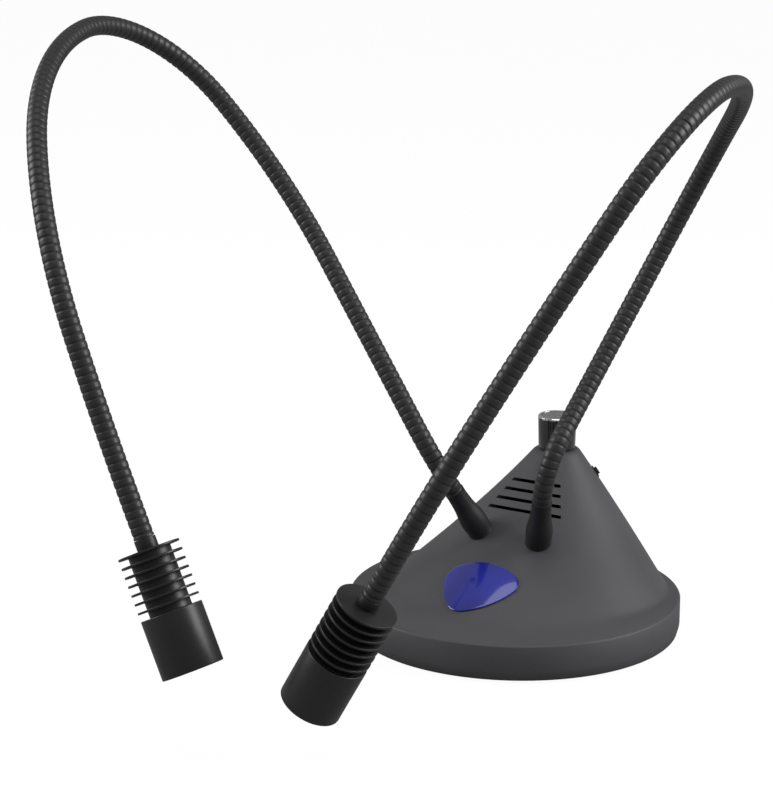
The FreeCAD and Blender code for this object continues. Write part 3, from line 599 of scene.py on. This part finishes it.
def badge_outline():
    """Three round corners and the bowed sides between them, which run into each other smoothly."""
    centres = []
    for index, (corner, radius) in enumerate(BADGE_CORNERS):
        following, next_radius = BADGE_CORNERS[(index + 1) % 3]
        side = following - corner
        near, far = BADGE_SIDE - radius, BADGE_SIDE - next_radius
        along = (near ** 2 - far ** 2 + side.length_squared) / (2 * side.length)
        inward = Vector((side.y, -side.x)).normalized()
        centres.append(corner + side.normalized() * along + inward * math.sqrt(near ** 2 - along ** 2))
    points = []
    for index, (corner, radius) in enumerate(BADGE_CORNERS):
        centre, following = centres[index], BADGE_CORNERS[(index + 1) % 3][0]
        points += arc(corner, radius, corner - centres[index - 1], corner - centre)
        points += arc(centre, BADGE_SIDE, corner - centre, following - centre)
    return points


def badge_mesh():
    """The outline laid on the cone, raised to a rounded edge and a dome."""
    place = (Matrix.Translation(BADGE_AXIS) @ Matrix.Rotation(math.radians(FRONT_TURN), 4, "Z")
             @ Matrix.Translation(BADGE_PLACE - BADGE_AXIS)
             @ Matrix.Rotation(math.radians(BADGE_LEAN), 4, "X"))
    normal = place.to_3x3() @ UP

    def on_cone(flat, height):
        """The point at a height above the cone's skin, for a point of the flat outline."""

        def outside(depth):
            point = place @ Vector((flat.x, flat.y, depth))
            return point.z > cone_height(point.x, point.y)

        skin = crossing(-SKIN_SEARCH, SKIN_SEARCH, outside, SKIN_HALVINGS)
        return place @ Vector((flat.x, flat.y, skin)) + normal * height

    levels = [(1.0, -BADGE_SUNK)]
    levels += [(share, BADGE_EDGE - depth) for share, depth in BADGE_ROUND]
    levels += [(share, BADGE_EDGE + (BADGE_CREST - BADGE_EDGE) * (1 - (share / DOME_EDGE) ** DOME_POWER))
               for share in DOME_SHARES]
    build = bmesh.new()
    edge = badge_outline()
    rings = [[build.verts.new(on_cone(BADGE_MIDDLE.lerp(point, share), height)) for point in edge]
             for share, height in levels]
    join_rings(build, rings)
    build.faces.new(rings[0])
    build.faces.new(rings[-1])
    return mesh_from(build, "badge_dome")


badge_finish = Finish("badge_blue_resin")
badge_depth = badge_finish.noise(12, 1.0)
badge_blue = badge_finish.surface(
    Base_Color=badge_finish.tint(badge_depth.above(PATCH_LOW, PATCH_HIGH), BADGE_DARK, BADGE_BLUE),
    Roughness=0.16, Coat_Weight=1.0, Coat_Roughness=0.03, IOR=1.5,
    Normal=badge_finish.bump(badge_finish.noise(4, 1.0), 0.03))
piece_from("badge_dome", badge_mesh(), badge_blue, "base", "badge")

# Dimmer knob
# A gloss black knob pushed on to the potentiometer's shaft. A bright ring is let into its top edge and a
# spun aluminium disc fills it. The potentiometer hangs from the cone's top by its nut.
KNOB_BOTTOM = 71.9
KNOB_TOP = 85.9
KNOB_RADIUS = 8.25
KNOB_FOOT_RADIUS = 7.9
KNOB_GRIP_RADIUS = 8.22
KNOB_BORE = 6.3
KNOB_ROOF = KNOB_BOTTOM + 2.7
KNOB_RING_BOTTOM = KNOB_TOP - 1
KNOB_CHAMFER = 0.4
DISC_RADIUS = 7.2
DISC_BOTTOM = KNOB_TOP - 1.3
DISC_TOP = KNOB_TOP - 0.3
DISC_TURNS = 26.0
SHAFT_RADIUS = 2.95
SHAFT_TOP = 83.0
ON_AXIS = 1e-6
TRIM_SHARE = 0.45
LATHE_STEPS = 96
KNOB_BLACK = rgb(0.012, 0.012, 0.013)
CHROME = rgb(0.82, 0.82, 0.83)
DISC_DARK = rgb(0.22, 0.22, 0.21)
DISC_LIGHT = rgb(0.28, 0.28, 0.27)
STEEL = rgb(0.5, 0.5, 0.5)
NICKEL = rgb(0.6, 0.58, 0.54)
joints = {joint["name"]: joint for joint in frame["joints"]}


def rounded(outline, radius, steps=3):
    """Replaces each corner of a closed (radius, height) outline by a small arc, except on the axis."""
    points = [Vector(point) for point in outline]
    result = []
    for index, corner in enumerate(points):
        before = points[index - 1] - corner
        after = points[(index + 1) % len(points)] - corner
        if corner.x < ON_AXIS:
            result.append(corner)
            continue
        trim = min(radius / math.tan(before.angle(after) / 2), before.length * TRIM_SHARE,
                   after.length * TRIM_SHARE)
        start = corner + before.normalized() * trim
        end = corner + after.normalized() * trim
        for step in range(steps + 1):
            share = step / steps
            result.append(start * (1 - share) ** 2 + corner * 2 * share * (1 - share) + end * share ** 2)
    return result


def lathe_mesh(name, outline, place):
    """Turns a closed outline about the Z of a frame."""
    build = bmesh.new()
    rings = []
    for radius, height in outline:
        if radius < ON_AXIS:
            rings.append([build.verts.new((0, 0, height))] * LATHE_STEPS)
            continue
        angles = [2 * math.pi * step / LATHE_STEPS for step in range(LATHE_STEPS)]
        rings.append([build.verts.new((radius * math.cos(angle), radius * math.sin(angle), height))
                      for angle in angles])
    join_rings(build, rings, closed=True)
    return mesh_from(build, name, place)


def lathe(name, outline, material, body, replaced, place, edge=0.15):
    """A turned piece with its edges rounded."""
    piece_from(name, lathe_mesh(name, rounded(outline, edge), place), material, body, replaced)


knob_axis = Vector(joints["dimmer_turn"]["pos_m"])
knob_place = Matrix.Translation((knob_axis.x, knob_axis.y, 0))
knob_finish = Finish("knob_gloss_black")
knob_black = knob_finish.surface(
    Base_Color=KNOB_BLACK, Roughness=knob_finish.noise(3) * 0.06 + 0.09, Coat_Weight=0.6,
    Coat_Roughness=0.05, Normal=knob_finish.bump(knob_finish.noise(2), 0.01))
knob_outline = [
    (KNOB_BORE, KNOB_BOTTOM), (KNOB_FOOT_RADIUS, KNOB_BOTTOM), (KNOB_GRIP_RADIUS, KNOB_RING_BOTTOM),
    (DISC_RADIUS, KNOB_RING_BOTTOM), (DISC_RADIUS, DISC_BOTTOM), (0, DISC_BOTTOM), (0, SHAFT_TOP),
    (SHAFT_RADIUS, SHAFT_TOP), (SHAFT_RADIUS, KNOB_ROOF), (KNOB_BORE, KNOB_ROOF)]
lathe("knob_grip", knob_outline, knob_black, "knob", "knob", knob_place, edge=0.2)
ring_outline = [
    (DISC_RADIUS, KNOB_RING_BOTTOM), (KNOB_RADIUS, KNOB_RING_BOTTOM),
    (KNOB_RADIUS, KNOB_TOP - KNOB_CHAMFER), (KNOB_RADIUS - KNOB_CHAMFER, KNOB_TOP), (DISC_RADIUS, KNOB_TOP)]
bright_chrome = plated("bright_chrome", CHROME, rough=0.06)
lathe("knob_bright_ring", ring_outline, bright_chrome, "knob", "knob_ring", knob_place, edge=0.12)
disc_finish = Finish("spun_aluminium")
disc_place = disc_finish.node("ShaderNodeMapping", {"vector_type": "POINT"}, {
    "Vector": disc_finish.place(), "Location": (-knob_axis.x, -knob_axis.y, 0)})
disc_flat = disc_finish.node("ShaderNodeVectorMath", {"operation": "MULTIPLY"}, {
    0: disc_place, 1: (1, 1, 0)})
disc_reach = disc_finish.node("ShaderNodeVectorMath", {"operation": "LENGTH"}, {0: disc_flat}, "Value")
disc_rings = (disc_reach * (DISC_TURNS / MM)).sine()
spun_disc = disc_finish.surface(
    Base_Color=disc_finish.tint(disc_finish.noise(4), DISC_DARK, DISC_LIGHT), Metallic=0.6,
    Roughness=disc_rings * 0.04 + 0.5, Normal=disc_finish.bump(disc_rings, 0.01, 0.5))
disc_outline = [(0, DISC_BOTTOM), (DISC_RADIUS, DISC_BOTTOM), (DISC_RADIUS, DISC_TOP), (0, DISC_TOP)]
lathe("knob_spun_disc", disc_outline, spun_disc, "knob", "knob_cap", knob_place, edge=0.1)
shaft_steel = plated("shaft_steel", STEEL, rough=0.3)
dress("potentiometer_shaft", shaft_steel)
dress("dimmer_potentiometer", shaft_steel)
nickel_plated = plated("nickel_plate", NICKEL, rough=0.24)
dress("potentiometer_nut", nickel_plated)

# Push switch and power inlet
# A small black push switch on the right of the cone, and a low-voltage socket with a bare pin at the rear.
# Both are moulded, and a nut holds the socket from inside.
SWITCH_BLACK = rgb(0.018, 0.018, 0.019)
dress("power_switch", moulded("switch_black", SWITCH_BLACK, rough=0.3, grain=0.4, depth=0.01))
dress("switch_button", moulded("button_black", SWITCH_BLACK, rough=0.35, grain=0.4, depth=0.01))
dress("dc_inlet", moulded("inlet_black", SWITCH_BLACK, rough=0.45, grain=0.4, depth=0.01))
dress("inlet_nut", nickel_plated)

# Driver board
# A small current driver on four standoffs over the ballast: a coil, two capacitors and two power
# transistors, soldered to a green laminate that four screws hold.
BOARD_GREEN = rgb(0.012, 0.09, 0.03)
COIL_GREY = rgb(0.03, 0.03, 0.032)
SLEEVE_BLUE = rgb(0.015, 0.018, 0.03)
EPOXY_BLACK = rgb(0.02, 0.02, 0.02)
dress("driver_board", moulded("board_green_mask", BOARD_GREEN, rough=0.35, grain=0.8, depth=0.03))
dress("driver_inductor", moulded("inductor_ferrite", COIL_GREY, rough=0.6, grain=1.2, depth=0.2))
dress("driver_capacitors", moulded("capacitor_sleeve", SLEEVE_BLUE, rough=0.3, grain=2, depth=0.02))
dress("driver_transistors", moulded("transistor_epoxy", EPOXY_BLACK, rough=0.5, grain=0.5, depth=0.03))
dress("board_screws", zinc_plated)
dress("board_standoffs", zinc_plated)

# Arm roots
# Each gooseneck stands in a nickel-plated ferrule that a nut holds inside the shell. A black rubber boot
# covers the joint: it swells towards the cone and lies on it.
ROOT_HALF_ANGLE = 23.7
ROOT_CIRCLE = 34.56
ROOT_CIRCLE_BACK = 24.11
ROOT_HEIGHT = 42.3
SIDES = {"left": -1, "right": 1}
BOOT_BLACK = rgb(0.014, 0.014, 0.015)
boot_rubber = moulded("boot_rubber", BOOT_BLACK, rough=0.5, grain=0.7, depth=0.03)
dress("root_nuts", nickel_plated)
roots = {}
for side, sign in SIDES.items():
    root_angle = math.radians(sign * ROOT_HALF_ANGLE + FRONT_TURN)
    root = Vector((ROOT_CIRCLE * math.sin(root_angle),
                   ROOT_CIRCLE_BACK - ROOT_CIRCLE * math.cos(root_angle), ROOT_HEIGHT))
    first_joint = Vector(joints[f"{side}_bend_1"]["pos_m"]) / MM
    roots[side] = (root, (first_joint - root).normalized())
    dress(f"{side}_root_ferrule", nickel_plated)
    dress(f"{side}_boot", boot_rubber)

# Goosenecks
# Interlocked steel strip wound into a hose that stays where it is bent, painted satin black: every turn is
# a crowned band between two grooves. Each piece of hose reaches half a span to both sides of its joint.
HOSE_STRAIGHT = 26.0
FIRST_SPAN = 30.0
SPAN = 83.0
SPAN_COUNT = 7
TIP_LENGTH = 14.0
SLACK = 1e-6
SLEEVE_LENGTH = 4.2
SLEEVE_GAP = 0.2
HOSE_RADIUS = 4.0
HOSE_SIDES = 32
HOSE_START = 3.0
HOSE_SHARP = 80
RING_PITCH = 3.15
RING_SAMPLES = 10
GROOVE_DEPTH = 0.26
GROOVE_WIDTH = 0.34
BAND_CROWN = 0.22
BEND_REACH = 20.0
ROOT_BEND_REACH = 14.0
FERRULE_REACH = 2.0
HEAD_AIM = {"left": (85.9, -63.4), "right": (-82.7, -60.4)}
HOSE_DARK = rgb(0.018, 0.018, 0.019)
HOSE_LIGHT = rgb(0.032, 0.032, 0.034)
# near black mixed into each groove: painted shade where little light reaches in, not a different paint
GROOVE_SHADE = rgb(0.006, 0.006, 0.006)
HOSE_ROUGH = 0.36
GROOVE_ROUGH = 0.2


def aim(turn, rise):
    """Unit vector turned from the front towards the right, then raised above level, both in degrees."""
    turn, rise = math.radians(turn), math.radians(rise)
    return Vector((math.sin(turn) * math.cos(rise), -math.cos(turn) * math.cos(rise), math.sin(rise)))


class Route:
    """An arm's centreline: a straight stub, seven arcs that run on smoothly, and a straight tip."""

    def __init__(self, side):
        self.stretches = []
        self.knots = []
        places = [Vector(joints[f"{side}_bend_{number}"]["pos_m"]) / MM
                  for number in range(1, SPAN_COUNT + 1)]
        root, way = roots[side]
        self.add(root, way, HOSE_STRAIGHT)
        for number, (place, following) in enumerate(zip(places, places[1:]), 1):
            self.knots.append((self.length, place, way))
            chord = following - place
            arriving = (chord * (2 * chord.dot(way) / chord.length_squared) - way).normalized()
            self.add(place, way, FIRST_SPAN if number == 1 else SPAN, arriving)
            way = arriving
        self.knots.append((self.length, places[-1], way))
        self.add(places[-1], way, SPAN - TIP_LENGTH, aim(*HEAD_AIM[side]))
        self.add(*self.at(self.length), TIP_LENGTH)
        self.end, self.end_way = self.at(self.length)

    @property
    def length(self):
        return sum(length for _, _, length, _ in self.stretches)

    def add(self, start, way, length, arriving=None):
        """A stretch that leaves a point in a direction, and bends to another one where it is given."""
        self.stretches.append((start, way, length, arriving))

    def at(self, distance):
        """Point and direction at a distance along the arm."""
        for start, way, length, arriving in self.stretches:
            if distance <= length + SLACK:
                break
            distance -= length
        else:
            distance = length
        if arriving is None:
            return start + way * distance, way
        inward = way.cross(arriving).normalized().cross(way)
        radius = length / way.angle(arriving)
        turn = distance / radius
        point = start + way * (radius * math.sin(turn)) + inward * (radius * (1 - math.cos(turn)))
        return point, way * math.cos(turn) + inward * math.sin(turn)


def ribbed_hose():
    """Recipe: a centreline becomes a tube whose radius dips in a groove once every pitch."""
    sizes = ("Crest Radius", "Groove Depth", "Groove Width", "Band Crown", "Pitch", "Start")
    recipe = Recipe("ribbed_hose", {label: "Float" for label in sizes})
    curve = recipe.node("GeometryNodeMeshToCurve", {}, {"Mesh": recipe.given("Geometry")})
    travelled = recipe.node("GeometryNodeSplineParameter", output="Length") + recipe.given("Start")
    # from a band's middle to its ends offset goes from 0 to a half, and the bell peaks in the groove
    offset = abs((travelled / recipe.given("Pitch")).fraction() - 0.5)
    spread = (0.5 - offset) * recipe.given("Pitch") / recipe.given("Groove Width")
    bell = math.e ** (spread * spread * -1.0)
    dip = bell * recipe.given("Groove Depth")
    radius = recipe.given("Crest Radius") - dip - offset * offset * recipe.given("Band Crown")
    # the bell is kept as groove: the hose's material paints shade into the grooves with it and makes them
    # rougher
    marked = recipe.node("GeometryNodeStoreNamedAttribute", {"data_type": "FLOAT", "domain": "POINT"}, {
        "Geometry": curve, "Name": "groove", "Value": bell})
    ring = recipe.node("GeometryNodeCurvePrimitiveCircle", {}, {"Resolution": HOSE_SIDES, "Radius": 1.0})
    recipe.ends_in(recipe.node("GeometryNodeCurveToMesh", {}, {
        "Curve": marked, "Profile Curve": ring, "Scale": radius, "Fill Caps": True}))
    return recipe


def hose_centreline(route, start, end):
    """Points along a part of a route, ten to each turn of the strip, joined in a line."""
    count = round((end - start) / (RING_PITCH / RING_SAMPLES))
    points = [route.at(start + (end - start) * step / count)[0] * MM for step in range(count + 1)]
    line = bpy.data.meshes.new("centreline")
    line.from_pydata(points, [(step, step + 1) for step in range(count)], [])
    return line


hose_finish = Finish("hose_satin_black")
hose_groove = hose_finish.node("ShaderNodeAttribute", {"attribute_name": "groove"}, {}, "Fac")
hose_scuff = hose_finish.noise(2.5, 4.0)
hose_band = hose_finish.tint(hose_scuff, HOSE_DARK, HOSE_LIGHT)
# the colour goes near black in each groove: painted shade, as the paint is the same satin black there
hose_paint = hose_finish.surface(
    Base_Color=hose_finish.tint(hose_groove, hose_band, GROOVE_SHADE),
    Roughness=hose_scuff * SCUFF_ROUGH + HOSE_ROUGH + hose_groove * GROOVE_ROUGH, Specular_IOR_Level=0.5,
    Normal=hose_finish.bump(hose_finish.noise(0.3, 2.0), 0.02, 0.5))
hose_recipe = ribbed_hose()
hose_sizes = {
    "Crest Radius": HOSE_RADIUS * MM, "Groove Depth": GROOVE_DEPTH * MM, "Groove Width": GROOVE_WIDTH * MM,
    "Band Crown": BAND_CROWN * MM, "Pitch": RING_PITCH * MM, "Material": hose_paint}
routes = {side: Route(side) for side in SIDES}
for side, route in routes.items():
    for number, (knot, knot_point, knot_way) in enumerate(route.knots, 1):
        first, second, last = (number == place for place in (1, 2, SPAN_COUNT))
        start = HOSE_START if first else knot - (FIRST_SPAN if second else SPAN) / 2
        end = knot + (FIRST_SPAN if first else SPAN) / 2
        if last:
            end = route.length - SLEEVE_LENGTH - SLEEVE_GAP
        mesh = hose_recipe.run(hose_centreline(route, start, end), {**hose_sizes, "Start": start * MM})
        smooth(mesh, HOSE_SHARP)
        hose = bpy.data.objects.new(f"{side}_hose_{number}", mesh)
        bpy.context.scene.collection.objects.link(hose)
        # the boot and the ferrule hold the hose up to the first joint; the reaches below are not used
        before = FERRULE_REACH if first else ROOT_BEND_REACH if second else BEND_REACH
        after = ROOT_BEND_REACH if first else BEND_REACH
        tuple((knot_point - knot_way * before) * MM)
        tuple((knot_point + knot_way * after) * MM)
        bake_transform(hose)
        replaced = [f"{side}_gooseneck_root"] if first else []
        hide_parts(f"{side}_gooseneck_{number}", *replaced)

# Heads
# Each head is turned from aluminium bar and anodised black: a core with seven thin fins, and a snout that
# holds the LED's board, a glass lens and its keeper ring. A short sleeve joins it to the gooseneck.
SLEEVE_BORE = 3.62
SLEEVE_RADIUS = 4.18
FIN_COUNT = 7
FIN_PITCH = 3.5
FIN_THICKNESS = 0.9
FIN_RADIUS = 12.0
WIRE_BORE = 2.3
CORE_RADIUS = 8.3
CORE_START = 0.4
CORE_LENGTH = FIN_COUNT * FIN_PITCH
SPIGOT_RADIUS = 10.5
SPIGOT_END = CORE_LENGTH + 4.0
SNOUT_RADIUS = 12.0
SNOUT_BORE = 10.6
HEAD_LENGTH = 48.0
KEEPER_BORE = 9.3
KEEPER_THICKNESS = 1.6
LENS_FACE = 45.0
LENS_RADIUS = 10.4
LENS_SPHERE = 14.0
LENS_SPHERE_CENTRE = 51.0
LENS_STEPS = 12
TOOL_TURNS = 21.0
ANODISED_DARK = rgb(0.010, 0.010, 0.011)
ANODISED_LIGHT = rgb(0.016, 0.016, 0.018)
ANODISED_ROUGH = 0.34
SLEEVE_BLACK = rgb(0.014, 0.014, 0.015)
MASK_WHITE = rgb(0.7, 0.7, 0.68)
PHOSPHOR_DARK = rgb(0.75, 0.6, 0.12)
PHOSPHOR_LIGHT = rgb(0.85, 0.72, 0.2)
GLASS = rgb(0.97, 0.98, 1.0)


def anodised(name, way):
    """Black anodised aluminium with the fine rings that the lathe left round the head's own axis."""
    finish = Finish(name)
    along = finish.node("ShaderNodeVectorMath", {"operation": "DOT_PRODUCT"}, {
        0: finish.place(), 1: tuple(way)}, "Value")
    rings = (along * (TOOL_TURNS / MM)).sine()
    fine = finish.noise(0.4, 2.0)
    broad = finish.noise(10, 2.0)
    return finish.surface(
        Base_Color=finish.tint(broad, ANODISED_DARK, ANODISED_LIGHT),
        Roughness=broad * PATCH_ROUGH + ANODISED_ROUGH + fine * 0.05, Specular_IOR_Level=0.5,
        Normal=finish.bump(rings * 0.5 + fine * 0.5, 0.006, 0.6))


def box_outline(inner, outer, low, high):
    """The section of a turned ring: two radii and two heights."""
    return [(inner, low), (outer, low), (outer, high), (inner, high)]


sleeve_black = moulded("sleeve_black", SLEEVE_BLACK, rough=0.42, grain=0.6, depth=0.02)
led_white = moulded("led_board_white", MASK_WHITE, rough=0.4, grain=0.8, depth=0.01)
emitter_finish = Finish("led_phosphor")
emitter_yellow = emitter_finish.surface(
    Base_Color=emitter_finish.tint(emitter_finish.noise(1), PHOSPHOR_DARK, PHOSPHOR_LIGHT), Roughness=0.25,
    Coat_Weight=1.0, Coat_Roughness=0.05)
lens_finish = Finish("lens_glass")
lens_clear = lens_finish.surface(
    Base_Color=GLASS, Roughness=lens_finish.noise(6) * 0.02 + 0.01, Transmission_Weight=1.0, IOR=1.5,
    Normal=lens_finish.bump(lens_finish.noise(10), 0.002))
keeper_black = moulded("lens_keeper_black", EPOXY_BLACK, rough=0.45, grain=0.5, depth=0.02)
core_outline = [
    (WIRE_BORE, CORE_START), (CORE_RADIUS, CORE_START), (CORE_RADIUS, CORE_LENGTH),
    (SPIGOT_RADIUS, CORE_LENGTH), (SPIGOT_RADIUS, SPIGOT_END), (WIRE_BORE, SPIGOT_END)]
lens_outline = [(0, LENS_FACE), (LENS_RADIUS, LENS_FACE)]
for number in range(LENS_STEPS + 1):
    reach = LENS_RADIUS * (1 - number / LENS_STEPS)
    lens_outline.append((reach, LENS_SPHERE_CENTRE - math.sqrt(LENS_SPHERE ** 2 - reach ** 2)))
for side, route in routes.items():
    body = f"{side}_span_{SPAN_COUNT}"
    head = seat(route.end * MM, route.end_way)
    head_black = anodised(f"{side}_head_anodised", route.end_way)
    lathe(f"{side}_sleeve", box_outline(SLEEVE_BORE, SLEEVE_RADIUS, -SLEEVE_LENGTH, 0), sleeve_black, body,
          f"{side}_collar", head, edge=0.12)
    lathe(f"{side}_finned_core", core_outline, head_black, body, f"{side}_heat_sink", head)
    one_fin = lathe_mesh("fin", rounded(box_outline(WIRE_BORE, FIN_RADIUS, 0, FIN_THICKNESS), 0.2), head)
    fins = row_of.run(one_fin, {
        "Count": FIN_COUNT, "Step": route.end_way * FIN_PITCH * MM, "Material": head_black})
    piece_from(f"{side}_fins", fins, head_black, body, f"{side}_heat_sink")
    lathe(f"{side}_snout_tube", box_outline(SNOUT_BORE, SNOUT_RADIUS, CORE_LENGTH, HEAD_LENGTH), head_black,
          body, f"{side}_snout", head, edge=0.35)
    dress(f"{side}_led_board", led_white)
    dress(f"{side}_led_emitter", emitter_yellow)
    piece_from(f"{side}_glass_lens", lathe_mesh("lens", lens_outline, head), lens_clear, body,
               f"{side}_lens")
    keeper_outline = box_outline(KEEPER_BORE, SNOUT_BORE, LENS_FACE, LENS_FACE + KEEPER_THICKNESS)
    lathe(f"{side}_lens_keeper", keeper_outline, keeper_black, body, f"{side}_lens_ring", head, edge=0.2)
